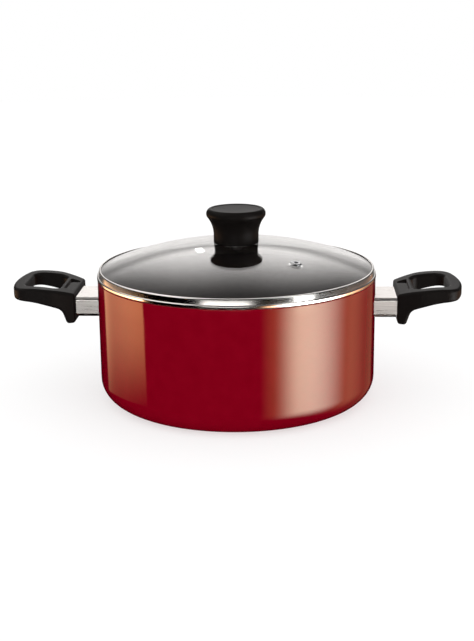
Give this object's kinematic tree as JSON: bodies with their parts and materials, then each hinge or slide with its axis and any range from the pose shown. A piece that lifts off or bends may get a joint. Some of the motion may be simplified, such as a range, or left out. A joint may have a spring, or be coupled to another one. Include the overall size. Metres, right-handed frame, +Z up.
{
  "type": "covered casserole dish",
  "caption": "Round enamelled aluminium casserole with a straight wall, looped side grips on steel flame guards, and a glass lid with a steel band, knob and steam vent.",
  "frame": {"origin": "centre of the pot's flat base, on the surface it stands on", "axes": "+X along the two side grips, +Z up along the pot's axis, vent hole towards +X -Y"},
  "size_m": [0.4, 0.2488, 0.1703],
  "materials": {
    "enamelled_aluminium": "gloss enamel outside, dark non-stick coat inside",
    "tempered_glass": "clear, ground edge",
    "polished_steel": "polished",
    "guard_steel": "satin",
    "moulded_black": "satin phenolic moulding",
    "brass_insert": "turned",
    "screw_steel": "zinc plated",
    "clear_silicone": "matt",
    "cast_aluminium": "as cast",
    "rivet_aluminium": "formed"
  },
  "bodies": {
    "pot": {"pot_body": "enamelled_aluminium", "left_flame_guard": "guard_steel", "left_bracket": "cast_aluminium", "left_rivets": "rivet_aluminium", "left_grip": "moulded_black", "left_grip_washer": "screw_steel", "left_grip_screw": "screw_steel", "right_flame_guard": "guard_steel", "right_bracket": "cast_aluminium", "right_rivets": "rivet_aluminium", "right_grip": "moulded_black", "right_grip_washer": "screw_steel", "right_grip_screw": "screw_steel"},
    "lid": {"lid_glass": "tempered_glass", "lid_band": "polished_steel", "steam_vent": "polished_steel", "vent_washer": "polished_steel", "knob": "moulded_black", "knob_insert": "brass_insert", "knob_screw": "screw_steel", "knob_washer": "screw_steel", "upper_gasket": "clear_silicone", "lower_gasket": "clear_silicone"}
  },
  "joints": [
    {"name": "lid_lift", "type": "slide", "parent": "pot", "child": "lid", "axis": [0, 0, 1], "range_m": [0, 0.2]}
  ]
}
